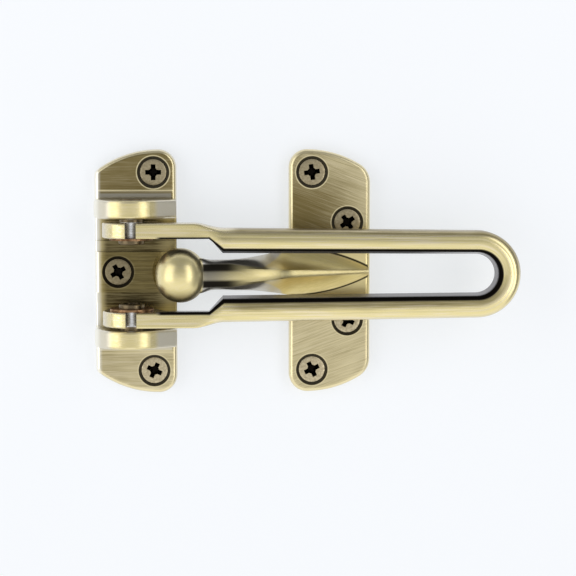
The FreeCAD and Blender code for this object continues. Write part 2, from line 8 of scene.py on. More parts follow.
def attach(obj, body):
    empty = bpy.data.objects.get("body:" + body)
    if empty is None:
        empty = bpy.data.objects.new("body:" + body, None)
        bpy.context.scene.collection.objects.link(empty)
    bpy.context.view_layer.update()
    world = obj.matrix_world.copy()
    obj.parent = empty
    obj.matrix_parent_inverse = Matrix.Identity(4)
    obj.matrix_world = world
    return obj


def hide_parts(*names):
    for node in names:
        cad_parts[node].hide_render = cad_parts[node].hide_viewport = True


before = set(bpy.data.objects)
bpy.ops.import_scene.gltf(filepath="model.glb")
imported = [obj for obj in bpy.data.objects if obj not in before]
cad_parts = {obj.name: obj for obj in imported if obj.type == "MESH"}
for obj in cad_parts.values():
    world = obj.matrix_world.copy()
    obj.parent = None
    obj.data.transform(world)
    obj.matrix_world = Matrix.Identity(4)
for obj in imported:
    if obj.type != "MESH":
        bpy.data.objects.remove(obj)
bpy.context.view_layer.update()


# Frame bracket: one brass casting with two ears, screwed to the door frame. It is darkened,
# then relieved with a belt across the plate, so the fine scratches run along X, the hollows
# stay brown-black, deepened with painted shade, and the raised faces shine through.

def link(tree, source, target):
    tree.links.new(source, target)


def add_node(tree, kind, **settings):
    node = tree.nodes.new(kind)
    for name, value in settings.items():
        setattr(node, name, value)
    return node


def set_input(node, name, value):
    node.inputs[name].default_value = value


def math_node(tree, operation, first, second=None):
    """One step of arithmetic; a number or an output goes in each place."""
    node = add_node(tree, "ShaderNodeMath", operation=operation)
    for place, item in enumerate((first, second)):
        if item is None:
            continue
        if isinstance(item, (int, float)):
            node.inputs[place].default_value = item
        else:
            link(tree, item, node.inputs[place])
    return node.outputs["Value"]


def total(tree, first, second):
    return math_node(tree, "ADD", first, second)


def less(tree, first, second):
    return math_node(tree, "SUBTRACT", first, second)


def size_of(tree, value):
    return math_node(tree, "ABSOLUTE", value)


def chain(tree, operation, shares):
    whole = shares[0]
    for share in shares[1:]:
        whole = math_node(tree, operation, whole, share)
    return whole


def larger(tree, *shares):
    return chain(tree, "MAXIMUM", shares)


def product(tree, *shares):
    return chain(tree, "MULTIPLY", shares)


def distance(tree, across, upward):
    """Length of the slope whose two legs are across and upward."""
    squares = total(tree, product(tree, across, across), product(tree, upward, upward))
    return math_node(tree, "SQRT", squares)


def ramp(tree, source, low, high, dark=0.0, light=1.0):
    """A smooth step from dark to light as source goes from low to high. The named spans in each
    section hold these numbers in this order."""
    node = add_node(tree, "ShaderNodeMapRange", interpolation_type="SMOOTHSTEP")
    link(tree, source, node.inputs["Value"])
    set_input(node, "From Min", low)
    set_input(node, "From Max", high)
    set_input(node, "To Min", dark)
    set_input(node, "To Max", light)
    return node.outputs["Result"]


def fade(tree, source, low, high, most=1.0):
    """A smooth step down from most to nothing as source goes from low to high."""
    return ramp(tree, source, low, high, most, 0.0)


def noise(tree, coordinates, stretch, turn=0.0, detail=3.0, roughness=0.6):
    """Noise whose cells are stretch metres long along each axis, turned about Z."""
    mapping = add_node(tree, "ShaderNodeMapping", vector_type="TEXTURE")
    set_input(mapping, "Rotation", (0.0, 0.0, math.radians(turn)))
    set_input(mapping, "Scale", stretch)
    link(tree, coordinates, mapping.inputs["Vector"])
    texture = add_node(tree, "ShaderNodeTexNoise")
    set_input(texture, "Scale", 1.0)
    set_input(texture, "Detail", detail)
    set_input(texture, "Roughness", roughness)
    link(tree, mapping.outputs["Vector"], texture.inputs["Vector"])
    return texture.outputs["Fac"]


def mix_colour(tree, share, first, second, blend="MIX"):
    """A colour that goes from first to second as share goes from 0 to 1."""
    node = add_node(tree, "ShaderNodeMix", data_type="RGBA", blend_type=blend)
    link(tree, share, node.inputs["Factor"])
    for name, item in (("A", first), ("B", second)):
        socket = next(s for s in node.inputs if s.name == name and s.type == "RGBA")
        if isinstance(item, tuple):
            socket.default_value = (*item, 1.0)
        else:
            link(tree, item, socket)
    return next(s for s in node.outputs if s.type == "RGBA")


def parts_of(tree, vector):
    split = add_node(tree, "ShaderNodeSeparateXYZ")
    link(tree, vector, split.inputs["Vector"])
    return split.outputs


def off_axis(tree, place, axes):
    """Distance of a point from the nearest of the upright axes through these (x, y) places."""
    x, y, z = parts_of(tree, place)
    nearest = None
    for axis_x, axis_y in axes:
        away = distance(tree, less(tree, x, axis_x), less(tree, y, axis_y))
        nearest = away if nearest is None else math_node(tree, "MINIMUM", nearest, away)
    return nearest


def new_metal(name):
    """A metal with its tree, its object coordinates and its shader."""
    material = bpy.data.materials.new(name)
    material.use_nodes = True
    tree = material.node_tree
    shader = tree.nodes["Principled BSDF"]
    set_input(shader, "Metallic", 1.0)
    place = add_node(tree, "ShaderNodeTexCoord").outputs["Object"]
    return material, tree, place, shader


RELIEVED_BRASS = (0.85, 0.735, 0.37)
PLATE_BRASS = (0.86, 0.75, 0.445)
PALE_FLOOR_REFLECTION = (0.74, 0.70, 0.60)
TONED_BRASS = (0.215, 0.163, 0.060)
STREAK_BRASS = (0.90, 0.79, 0.58)
BLACK_PATINA_AND_SHADE = (0.008, 0.0066, 0.0052)
NOISE_MIDDLE = 0.5
SCRATCH_SIZE = (0.007, 0.00012, 0.00012)
SCRATCH_SHARE = 0.6
SCRATCH_DEPTH = 0.00003
SCRATCH_STRENGTH = 0.30
STROKE_SIZE = (0.015, 0.00045, 0.00045)
STROKE_SHARE = 0.4
PALE_STROKES = (0.45, 0.66)
CLOUD_SIZE = (0.012, 0.012, 0.012)
CLOUD_SHARE = 0.25
RAISED_HEIGHT = (0.0045, 0.0060)
STEEP_LEAN = (0.35, 0.85)
HOLLOW_REACH = 0.0016
HOLLOW_SHADE = (0.15, 0.65, 0.90)
TONED_DULLNESS = 0.10


def steep_faces(tree, most):
    """The share, most at upright faces, by which a steep face is painted with the reflection of the pale
    floor.
    """
    leaning = parts_of(tree, add_node(tree, "ShaderNodeTexCoord").outputs["Normal"])[2]
    return fade(tree, size_of(tree, leaning), *STEEP_LEAN, most)


def aged_brass(name, lay_of, turn, gloss, pale, streak, relief_and_light_of, shade_and_patina_of):
    """Darkened brass relieved with a belt, with painted shade deepening its hollows. lay_of gives the
    coordinates that the scratches follow, turn their angle in degrees, pale the share of painted reflection
    of the pale floor on steep faces, and streak that of pale strokes. relief_and_light_of gives how much of
    the brass the belt laid bare, together with painted light and shade, and how uneven it is, and
    shade_and_patina_of tints the tone with patina and painted light and shade and gives the share of dull
    black, patina and painted shadow, that is left over it."""
    material, tree, place, shader = new_metal(name)
    along = lay_of(tree, place)
    scratches = noise(tree, along, SCRATCH_SIZE, turn, detail=4.0, roughness=0.7)
    strokes = noise(tree, along, STROKE_SIZE, turn, detail=3.0, roughness=0.6)
    cloud = noise(tree, place, CLOUD_SIZE, detail=2.0, roughness=0.5)
    lift = total(tree, product(tree, strokes, STROKE_SHARE), product(tree, scratches, SCRATCH_SHARE))
    level, contrast = relief_and_light_of(tree, place)
    cloudy = product(tree, less(tree, cloud, NOISE_MIDDLE), CLOUD_SHARE)
    uneven = total(tree, less(tree, lift, NOISE_MIDDLE), cloudy)
    bare = total(tree, level, product(tree, uneven, contrast))
    raised = ramp(tree, parts_of(tree, place)[2], *RAISED_HEIGHT)
    metal = mix_colour(tree, raised, PLATE_BRASS, RELIEVED_BRASS)
    # Painted reflection: steep faces turn towards the grey of the pale floor they face.
    metal = mix_colour(tree, steep_faces(tree, pale), metal, PALE_FLOOR_REFLECTION)
    metal = mix_colour(tree, ramp(tree, strokes, *PALE_STROKES, light=streak), metal, STREAK_BRASS)
    tone = mix_colour(tree, ramp(tree, bare, 0.0, 1.0), TONED_BRASS, metal)
    # Painted shade: hollows darkened towards black by their nearness to other faces, over the patina of the
    # brass.
    hollow = add_node(tree, "ShaderNodeAmbientOcclusion", samples=8, only_local=True)
    set_input(hollow, "Distance", HOLLOW_REACH)
    tone = mix_colour(tree, fade(tree, hollow.outputs["AO"], *HOLLOW_SHADE), tone, BLACK_PATINA_AND_SHADE)
    tone, black = shade_and_patina_of(tree, place, tone)
    link(tree, mix_colour(tree, black, tone, BLACK_PATINA_AND_SHADE), shader.inputs["Base Color"])
    link(tree, less(tree, 1.0, black), shader.inputs["Metallic"])
    set_input(shader, "Specular IOR Level", 0.0)
    link(tree, ramp(tree, bare, 0.0, 1.0, gloss + TONED_DULLNESS, gloss), shader.inputs["Roughness"])
    bump = add_node(tree, "ShaderNodeBump")
    set_input(bump, "Strength", SCRATCH_STRENGTH)
    set_input(bump, "Distance", SCRATCH_DEPTH)
    link(tree, lift, bump.inputs["Height"])
    link(tree, bump.outputs["Normal"], shader.inputs["Normal"])
    return material


def straight_lay(tree, place):
    return place


FRAME_SCREWS = ((0.0051, 0.0285), (-0.0051, 0.0), (0.0051, -0.0285))
SINK_EDGE = (0.00448, 0.00462, 0.95)
SINK_LIP_START = (0.00455, 0.00470, 0.0, 0.9)
SINK_LIP_END = (0.00480, 0.00505)
RIM_HEIGHT = (0.00408, 0.00419, 0.95)


def sink_shadows(tree, place, axes):
    """Painted shadow: black in the countersinks, round each head."""
    return fade(tree, off_axis(tree, place, axes), *SINK_EDGE)


def bright_sink_lips(tree, place, axes):
    """The thin bright edge round each countersink."""
    away = off_axis(tree, place, axes)
    return product(tree, ramp(tree, away, *SINK_LIP_START), fade(tree, away, *SINK_LIP_END))


def rim_wear_and_highlight(tree, z):
    """The rounded rim of a plate, which the belt rubs most, and a painted highlight along it."""
    return fade(tree, z, *RIM_HEIGHT)


BROWN_PATINA = (0.060, 0.043, 0.014)
FLOOR_GOLD = (0.46, 0.36, 0.12)
COVE_SHADE_GREY = (0.60, 0.56, 0.44)
LEFT_RIM_HIGHLIGHT = (0.98, 0.95, 0.84)
CHANNEL_HALF = (0.0145, 0.0157)
CHANNEL_HEIGHT = (0.0050, 0.0060)
PAD_STEP = (0.0030, 0.0041, 0.92, 0.74)
FLOOR_LEFT = (-0.0106, -0.0080)
FLOOR_RIGHT = (0.0050, 0.0100, 1.0, 0.40)
FLOOR_STREAK_SIZE = (0.011, 0.0004, 0.0004)
FLOOR_STREAKS = (0.36, 0.66, 1.08, 0.74)
FLOOR_GOLD_SHARE = 0.6
EAR_CROWN_X = -0.00045
EAR_FLANK = (0.0056, 0.0074, 0.0, 0.8)
EAR_FOOT = (0.0048, 0.0064)
EAR_TOP = (0.0060, 0.0090, 0.0, 0.80)
EAR_GRAIN = (0.0055, 0.0090, 1.3, 0.9)
COVE_SIDE = (0.0222, 0.0231, 0.8)
COVE_FOOT = (0.0042, 0.0044)
COVE_TOP = (0.0064, 0.0070)
LEFT_RIM = (-0.0112, -0.0096)
LEFT_MARGIN = (-0.0104, -0.0086, 0.95)
MARGIN_END = (0.0200, 0.0215)
FLANGE_EDGE_START = (0.0230, 0.0232, 0.0, 0.8)
FLANGE_EDGE_END = (0.0234, 0.0238)
FLANGE_LIGHT_FALL = (-0.034, 0.034, 0.60, 0.18)


def bracket_shade_and_patina(tree, place, tone):
    """Countersinks painted black as shadow, a streaked brown patina floor between the ears, where no belt
    reaches, ear flanks painted pale as a reflection of the pale floor, coves painted grey as shade and
    reflection, and a painted highlight on the left rim."""
    x, y, z = parts_of(tree, place)
    side = size_of(tree, y)
    between = product(tree, fade(tree, side, *CHANNEL_HALF), fade(tree, z, *CHANNEL_HEIGHT))
    streaks = noise(tree, place, FLOOR_STREAK_SIZE, detail=4.0, roughness=0.7)
    floor = product(
        tree,
        between,
        ramp(tree, z, *PAD_STEP),
        ramp(tree, x, *FLOOR_LEFT),
        ramp(tree, x, *FLOOR_RIGHT),
        ramp(tree, streaks, *FLOOR_STREAKS),
    )
    off_crown = size_of(tree, less(tree, x, EAR_CROWN_X))
    flank = product(tree, ramp(tree, off_crown, *EAR_FLANK), ramp(tree, z, *EAR_FOOT))
    cove = product(tree, fade(tree, side, *COVE_SIDE), ramp(tree, z, *COVE_FOOT), fade(tree, z, *COVE_TOP))
    # Painted reflection on the ear flanks; painted shade and reflection in the coves.
    tone = mix_colour(tree, flank, tone, PALE_FLOOR_REFLECTION)
    tone = mix_colour(tree, cove, tone, COVE_SHADE_GREY)
    tone = mix_colour(tree, product(tree, between, FLOOR_GOLD_SHARE), tone, FLOOR_GOLD)
    tone = mix_colour(tree, floor, tone, BROWN_PATINA)
    # Painted highlight along the rounded left rim.
    tone = mix_colour(tree, fade(tree, x, *LEFT_RIM), tone, LEFT_RIM_HIGHLIGHT)
    return tone, sink_shadows(tree, place, FRAME_SCREWS)


def bracket_relief_and_light(tree, place):
    """Ears laid bare, rims laid bare with a painted highlight; the flanges less, and least at the upper
    end, a painted fall of light.
    """
    x, y, z = parts_of(tree, place)
    side = size_of(tree, y)
    level = larger(
        tree,
        product(tree, ramp(tree, side, *FLANGE_EDGE_START), fade(tree, side, *FLANGE_EDGE_END)),
        # Painted light: the flanges lighter towards the lower end.
        ramp(tree, y, *FLANGE_LIGHT_FALL),
        product(tree, fade(tree, x, *LEFT_MARGIN), fade(tree, side, *MARGIN_END)),
        rim_wear_and_highlight(tree, z),
        bright_sink_lips(tree, place, FRAME_SCREWS),
        ramp(tree, z, *EAR_TOP),
    )
    return level, ramp(tree, z, *EAR_GRAIN)


def finish_node(name, material):
    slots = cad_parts[name].data.materials
    slots.clear()
    slots.append(material)


frame_brass = aged_brass("frame_brass", straight_lay, turn=0.0, gloss=0.30, pale=0.9, streak=0.35,
                         relief_and_light_of=bracket_relief_and_light, shade_and_patina_of=bracket_shade_and_patina)
finish_node("frame_bracket", frame_brass)


# Pivot pins: turned steel, pressed into the ears, bright where the splits of the eyes bare
# them, with the hollow inner end rolled over by the rivet set.

PIN_BRASS = (0.17, 0.13, 0.075)
DULL_STEEL = (0.70, 0.69, 0.67)
BRIGHT_STEEL = (0.96, 0.96, 0.95)
RING_SIZE = (0.004, 0.00035, 0.004)
RING_TONES = (0.3, 0.7)
RING_ROUGHNESS = (0.3, 0.7, 0.34, 0.24)
EYE_INNER_Y = (0.0102, 0.0104)
EYE_OUTER_Y = (0.0146, 0.0148)


def pin_metal():
    """Bare bright steel inside the eye, toned with the bracket on both sides of it."""
    material, tree, place, shader = new_metal("pin_steel")
    x, y, z = parts_of(tree, place)
    rings = noise(tree, place, RING_SIZE, detail=3.0, roughness=0.6)
    steel = mix_colour(tree, ramp(tree, rings, *RING_TONES), DULL_STEEL, BRIGHT_STEEL)
    height = size_of(tree, y)
    toned = larger(tree, fade(tree, height, *EYE_INNER_Y), ramp(tree, height, *EYE_OUTER_Y))
    link(tree, mix_colour(tree, toned, steel, PIN_BRASS), shader.inputs["Base Color"])
    link(tree, ramp(tree, rings, *RING_ROUGHNESS), shader.inputs["Roughness"])
    return material


pin_steel = pin_metal()
finish_node("upper_pivot_pin", pin_steel)
finish_node("lower_pivot_pin", pin_steel)


# Friction washers: thin stamped bronze, dull and copper brown, held between each eye and the
# rolled end of its pin.

WASHER_BROWN = (0.17, 0.085, 0.04)
WASHER_COPPER = (0.42, 0.25, 0.13)
SPOT_SIZE = (0.0018, 0.0018, 0.0018)
SPOT_TONES = (0.35, 0.7)
SPOT_ROUGHNESS = (0.3, 0.7, 0.52, 0.36)


def washer_metal():
    material, tree, place, shader = new_metal("washer_bronze")
    spots = noise(tree, place, SPOT_SIZE, detail=4.0, roughness=0.6)
    tone = mix_colour(tree, ramp(tree, spots, *SPOT_TONES), WASHER_BROWN, WASHER_COPPER)
    link(tree, tone, shader.inputs["Base Color"])
    link(tree, ramp(tree, spots, *SPOT_ROUGHNESS), shader.inputs["Roughness"])
    return material


washer_bronze = washer_metal()
finish_node("upper_friction_washer", washer_bronze)
finish_node("lower_friction_washer", washer_bronze)


# Swing bar: one brass casting, eyes, jogged arms and loop, that turns on the two pins. It is
# relieved lengthwise, so the scratches run along the arms and round the end of the loop, and
# the wall of the slot is painted grey as a reflection of the pale floor, under a black line of patina and
# painted shadow.

LOOP_CENTRE_X = 0.0965
LOOP_RADIUS = 0.010


def mix_share(tree, share, first, second):
    """A value that goes from first to second as share goes from 0 to 1."""
    return total(tree, first, product(tree, less(tree, second, first), share))


def joined(tree, x, y, z):
    whole = add_node(tree, "ShaderNodeCombineXYZ")
    for name, item in (("X", x), ("Y", y), ("Z", z)):
        link(tree, item, whole.inputs[name])
    return whole.outputs["Vector"]


def loop_lay(tree, place):
    """Coordinates that run along the arms, then round the end of the loop."""
    x, y, z = parts_of(tree, place)
    beyond = larger(tree, less(tree, x, LOOP_CENTRE_X), 0.0)
    turn = product(tree, math_node(tree, "ARCTAN2", beyond, size_of(tree, y)), LOOP_RADIUS)
    run = product(tree, total(tree, less(tree, x, beyond), turn), math_node(tree, "SIGN", y))
    return joined(tree, run, distance(tree, beyond, y), z)


WALL_REFLECTION_GREY = (0.31, 0.30, 0.31)
BAR_HALF = 0.0132
BAR_TAPER = 0.0127
BAR_CONTRAST = 1.2
SLOT_TAPER = 0.0070
JOG_START_X = 0.0210
JOG_END_X = 0.0250
JOG_SLOPE = 0.79
HINGE_ARM_BARE = 0.84
ARMS_START = (0.0250, 0.0300)
ARMS_APART = (-0.006, 0.006)
UPPER_ARM_SHADE = (0.0006, 0.0020, 0.42, 0.98)
LOWER_ARM_SHADE = (0.0020, 0.0045, 1.0, 0.46)
EYE_END = (0.0055, 0.0075)
WALL_OUT = (0.0073, 0.0076)
LINE_OUT = (0.0075, 0.0080)
LINE_DEPTH = (0.0146, 0.0160)
UPPER_WALL_Y = (0.0030, 0.0062)
UPPER_WALL_END = (0.0760, 0.0965, 0.78)
PIN_X = -0.0010
SPLIT_HALF = (0.0015, 0.00165, 0.5)
SPLIT_FLOOR = (0.0095, 0.0100)


def bar_relief_and_shade(tree, place):
    """Hinge arms laid bare all over; the long arms less along the upper edge of each, a painted shade."""
    x, y, z = parts_of(tree, place)
    out = parts_of(tree, loop_lay(tree, place))[1]
    narrowing = product(tree, larger(tree, less(tree, x, JOG_END_X), 0.0), BAR_TAPER)
    inward = less(tree, BAR_HALF, total(tree, out, narrowing))
    # Painted shade: each long arm darker along its upper edge.
    upper = ramp(tree, inward, *UPPER_ARM_SHADE)
    lower = ramp(tree, inward, *LOWER_ARM_SHADE)
    long_arms = mix_share(tree, ramp(tree, y, *ARMS_APART), lower, upper)
    return mix_share(tree, ramp(tree, x, *ARMS_START), HINGE_ARM_BARE, long_arms), BAR_CONTRAST


def bar_shade_and_patina(tree, place, tone):
    """A black line along the inner edge of the slot, patina out of the belt's reach and painted shadow,
    over a wall painted grey as a reflection of the pale floor, and splits painted dark as shade. The slot
    narrows with the arms, and its wall follows the jogs."""
    x, y, z = parts_of(tree, place)
    out = parts_of(tree, loop_lay(tree, place))[1]
    beyond_jog = less(tree, larger(tree, x, JOG_START_X), JOG_END_X)
    narrowing = total(tree, product(tree, larger(tree, beyond_jog, 0.0), SLOT_TAPER),
                      product(tree, math_node(tree, "MINIMUM", beyond_jog, 0.0), JOG_SLOPE))
    wall = total(tree, out, narrowing)
    arms = ramp(tree, x, *EYE_END)
    # Painted reflection: the wall of the slot grey with the pale floor.
    tone = mix_colour(tree, product(tree, arms, fade(tree, wall, *WALL_OUT)), tone, WALL_REFLECTION_GREY)
    upper_wall = product(tree, ramp(tree, y, *UPPER_WALL_Y), fade(tree, x, *UPPER_WALL_END))
    deep = larger(tree, ramp(tree, z, *LINE_DEPTH), upper_wall)
    # Black line: patina and painted shadow along the slot's inner edge.
    line = product(tree, arms, fade(tree, wall, *LINE_OUT), deep)
    off_pin = size_of(tree, less(tree, x, PIN_X))
    # Painted shade: the splits of the eyes darkened.
    split = product(tree, fade(tree, off_pin, *SPLIT_HALF), ramp(tree, z, *SPLIT_FLOOR))
    return tone, larger(tree, line, split)


bar_brass = aged_brass("bar_brass", loop_lay, turn=0.0, gloss=0.26, pale=0.9, streak=0.65,
                       relief_and_light_of=bar_relief_and_shade, shade_and_patina_of=bar_shade_and_patina)
finish_node("swing_bar", bar_brass)


# Door plate: one brass casting with the leaf foot, the neck and the ball, screwed to the door
# and relieved at a slant. The neck stays black along its sides, where the bar's arms are near, with a
# painted dark reflection there too.

SIDES_APART = 0.01


def fan_lay(tree, place):
    """Coordinates that mirror the scratches about the middle of the plate."""
    x, y, z = parts_of(tree, place)
    apart = product(tree, math_node(tree, "SIGN", y), SIDES_APART)
    return joined(tree, x, size_of(tree, y), total(tree, z, apart))


DOOR_SCREWS = ((0.0505, 0.0285), (0.0607, 0.0141), (0.0607, -0.0141), (0.0505, -0.0285))
SHADED_CORNER = (0.0465, 0.0175)
CORNER_SHADE = (0.001, 0.022, 0.13, 0.65)
SLOT_LIGHT_X = (0.0500, 0.0560, 0.0, 0.95)
SLOT_LIGHT_HALF = (0.0090, 0.0120)
ARM_HEIGHT = (0.0044, 0.0054)
ARM_GRAIN = (0.0044, 0.0054, 1.0, 0.45)
BALL_TOP_SHADE = (0.0018, 0.0068, 0.98, 0.90)
BALL_FOOT_SHADE = (-0.0068, -0.0015, 0.24, 0.98)
BALL_END = (0.0195, 0.0205)
NECK_BARE = 0.62
FOOT_START = (0.0360, 0.0420)
FOOT_GRAIN = (0.0360, 0.0460, 0.3, 1.3)
LEAF_SIDE_LIGHT = (-0.004, 0.004, 0.66, 0.84)
CREST_HALF = (0.0004, 0.0011, 0.78, 1.0)
BEND_START = (0.0398, 0.0418, 0.0, 0.96)
BEND_END = (0.0432, 0.0448)
BEND_HALF = (0.0008, 0.0020)


def door_relief_and_light(tree, place):
    """Ball, leaf and rims laid bare, the rims with a painted highlight; the plate less, and least at its
    upper left, a painted shade.
    Painted light lifts the plate where it shows through the bar's slot and the upper side of the leaf, and
    painted shade darkens the ball towards its lower edge and a little towards its upper edge.
    """
    x, y, z = parts_of(tree, place)
    side = size_of(tree, y)
    plate = larger(
        tree,
        # Painted shade at the upper left; painted light where the plate shows through the slot of the bar.
        ramp(tree, off_axis(tree, place, (SHADED_CORNER,)), *CORNER_SHADE),
        product(tree, ramp(tree, x, *SLOT_LIGHT_X), fade(tree, side, *SLOT_LIGHT_HALF)),
        rim_wear_and_highlight(tree, z),
        bright_sink_lips(tree, place, DOOR_SCREWS),
    )
    bend = product(tree, ramp(tree, x, *BEND_START), fade(tree, x, *BEND_END), fade(tree, side, *BEND_HALF))
    # Painted light: the leaf lighter on its upper side.
    leaf = product(tree, ramp(tree, y, *LEAF_SIDE_LIGHT), ramp(tree, side, *CREST_HALF))
    neck = mix_share(tree, ramp(tree, x, *FOOT_START), NECK_BARE, larger(tree, bend, leaf))
    # Painted shade: the ball darker towards its lower edge and a little towards its upper edge.
    ball = math_node(tree, "MINIMUM", ramp(tree, y, *BALL_TOP_SHADE), ramp(tree, y, *BALL_FOOT_SHADE))
    arm = mix_share(tree, ramp(tree, x, *BALL_END), ball, neck)
    level = mix_share(tree, ramp(tree, z, *ARM_HEIGHT), plate, arm)
    return level, product(tree, ramp(tree, x, *FOOT_GRAIN), ramp(tree, z, *ARM_GRAIN))


FLANK_REFLECTION_GREY = (0.56, 0.54, 0.50)
NECK_GREY = (0.20, 0.19, 0.17)
LEAF_GOLD = (1.0, 0.965, 0.80)
NECK_START = (0.0185, 0.0195)
NECK_THIN_X = 0.0270
NECK_THINNING = 0.14
NECK_HALF = 0.0024
NECK_TOP = (0.0008, 0.0017)
NECK_EDGE = (0.0030, 0.0036)
NECK_GREY_END = (0.0205, 0.0310, 0.85)
BAND_END = (0.0255, 0.0335, 0.97, 0.12)
FLANK_END = (0.0412, 0.0424, 0.85)
FLANK_BOW = 0.0051
GOLD_START = (0.0380, 0.0430)
GOLD_CREST = (0.0004, 0.0014)
GOLD_HALF = (0.0090, 0.0110)
SHOULDER_X = 0.0440
FOOT_HALF = 0.0067
LEAF_RADIUS = 0.0500
LEAF_LINE_OUT = 0.0001
LEAF_LINE = (0.00012, 0.00040, 0.92)
LEAF_LINE_START = (0.0430, 0.0450)
LEAF_LINE_FOOT = (0.0038, 0.0041)
LEAF_LINE_TOP = (0.0050, 0.0056)


def door_shade_and_patina(tree, place, tone):
    """Countersinks painted black as shadow, a black band on each side of the neck, where the arms of the
    bar keep the belt off, with a painted dark reflection there too, a flank painted grey beside it as a
    reflection of the pale floor, a golden leaf and a black line painted round it as the shadow at its foot."""
    x, y, z = parts_of(tree, place)
    side = size_of(tree, y)
    neck = ramp(tree, x, *NECK_START)
    out = total(tree, side, product(tree, larger(tree, less(tree, x, NECK_THIN_X), 0.0), NECK_THINNING))
    # Black band: unbrushed metal with a painted dark reflection.
    band = product(tree, neck, ramp(tree, side, *NECK_TOP), fade(tree, out, *NECK_EDGE),
                   ramp(tree, x, *BAND_END))
    root = math_node(tree, "DIVIDE", less(tree, FOOT_HALF, side), FOOT_HALF - NECK_HALF)
    leaf_start = total(tree, x, product(tree, root, root, FLANK_BOW))
    # Painted reflection: the flank grey with the pale floor.
    flank = product(tree, neck, ramp(tree, out, *NECK_EDGE), fade(tree, leaf_start, *FLANK_END))
    golden = product(tree, ramp(tree, x, *GOLD_START), ramp(tree, side, *GOLD_CREST),
                     fade(tree, side, *GOLD_HALF))
    tone = mix_colour(tree, golden, tone, LEAF_GOLD, "MULTIPLY")
    tone = mix_colour(tree, product(tree, neck, fade(tree, x, *NECK_GREY_END)), tone, NECK_GREY)
    tone = mix_colour(tree, flank, tone, FLANK_REFLECTION_GREY)
    # Painted shadow: the black line round the foot of the leaf.
    reach = distance(tree, less(tree, x, SHOULDER_X), total(tree, side, LEAF_RADIUS - FOOT_HALF))
    off_leaf = size_of(tree, less(tree, reach, LEAF_RADIUS + LEAF_LINE_OUT))
    outline = product(tree, fade(tree, off_leaf, *LEAF_LINE), ramp(tree, x, *LEAF_LINE_START),
                      ramp(tree, z, *LEAF_LINE_FOOT), fade(tree, z, *LEAF_LINE_TOP))
    return tone, larger(tree, sink_shadows(tree, place, DOOR_SCREWS), band, outline)


door_brass = aged_brass("door_brass", fan_lay, turn=-20.0, gloss=0.32, pale=0.3, streak=0.20,
                        relief_and_light_of=door_relief_and_light, shade_and_patina_of=door_shade_and_patina)
finish_node("door_plate", door_brass)


# Screws: cold-headed brass wood screws with a rolled thread and a cross recess, aged dull,
# driven through the plates, three into the frame and four into the door, and each left turned
# a little differently.

DULL_BRASS = (0.49, 0.41, 0.26)
BRIGHT_BRASS = (0.74, 0.64, 0.42)
DARK_SCREW_BRASS = (0.16, 0.125, 0.060)
GRAIN_SIZE = (0.0007, 0.0007, 0.0007)
GRAIN_TONES = (0.30, 0.75)
GRAIN_ROUGHNESS = (0.3, 0.7, 0.50, 0.34)
DARKER_UPWARDS = (-0.028, 0.020, 0.0, 0.42)
DARKER_MIDDLE = (-0.0012, 0.0012, 0.68)
RECESS_REACH = (0.0024, 0.0026)
RECESS_TOP = (0.00340, 0.00355)
HEAD_FOOT = (0.0, 0.0005)


def screw_metal():
    """Dull brass, painted black in the recess as shade, darker towards +Y, and darkest at the middle screw
    of the frame.
    """
    material, tree, place, shader = new_metal("screw_brass")
    x, y, z = parts_of(tree, place)
    grain = noise(tree, place, GRAIN_SIZE, detail=4.0, roughness=0.65)
    tone = mix_colour(tree, ramp(tree, grain, *GRAIN_TONES), DULL_BRASS, BRIGHT_BRASS)
    # Darker towards +Y and darkest at the middle screw of the frame.
    darker_share = larger(tree, ramp(tree, y, *DARKER_UPWARDS), fade(tree, x, *DARKER_MIDDLE))
    tone = mix_colour(tree, darker_share, tone, DARK_SCREW_BRASS)
    away = off_axis(tree, place, FRAME_SCREWS + DOOR_SCREWS)
    # Painted shade: black in the cross recess.
    recess = product(tree, fade(tree, away, *RECESS_REACH), fade(tree, z, *RECESS_TOP),
                     ramp(tree, z, *HEAD_FOOT))
    link(tree, mix_colour(tree, recess, tone, BLACK_PATINA_AND_SHADE), shader.inputs["Base Color"])
    link(tree, ramp(tree, grain, *GRAIN_ROUGHNESS), shader.inputs["Roughness"])
    return material


MILLIMETRES = 1000.0
ORIGIN = (0.0, 0.0, 0.0)
UPRIGHT = (0.0, 0.0, 1.0)
SHARP_ANGLE = 32.0
SCREW_PROFILE = ((0.0, 0.0), (2.9, -0.02), (3.55, -0.05), (3.72, -0.12), (3.72, -0.22), (2.08, -1.86),
                 (2.08, -3.5), (1.32, -4.1), (1.32, -25.0), (0.15, -29.6), (0.0, -29.8))
LATHE_STEPS = 64
WELD_REACH = 1e-6


def piece_mesh(name, bm):
    """The finished mesh of a piece, smooth but for its sharp edges."""
    bmesh.ops.recalc_face_normals(bm, faces=bm.faces)
    mesh = bpy.data.meshes.new(name)
    bm.to_mesh(mesh)
    bm.free()
    mesh.shade_smooth()
    mesh.set_sharp_from_angle(angle=math.radians(SHARP_ANGLE))
    return mesh


def profile_corners(bm, profile):
    return [bm.verts.new((r / MILLIMETRES, 0.0, z / MILLIMETRES)) for r, z in profile]


def turn_about_z(bm, turn):
    bmesh.ops.rotate(bm, verts=bm.verts, cent=ORIGIN, matrix=Matrix.Rotation(math.radians(turn), 3, "Z"))


def lathe_screw():
    """Head, shank and tapered core, turned about Z, with the head's face at the origin."""
    bm = bmesh.new()
    corners = profile_corners(bm, SCREW_PROFILE)
    edges = [bm.edges.new(pair) for pair in zip(corners, corners[1:])]
    bmesh.ops.spin(bm, geom=corners + edges, cent=ORIGIN, axis=UPRIGHT, dvec=ORIGIN,
                   angle=2.0 * math.pi, steps=LATHE_STEPS, use_merge=True)
    bmesh.ops.remove_doubles(bm, verts=bm.verts, dist=WELD_REACH)
    return piece_mesh("screw_blank", bm)


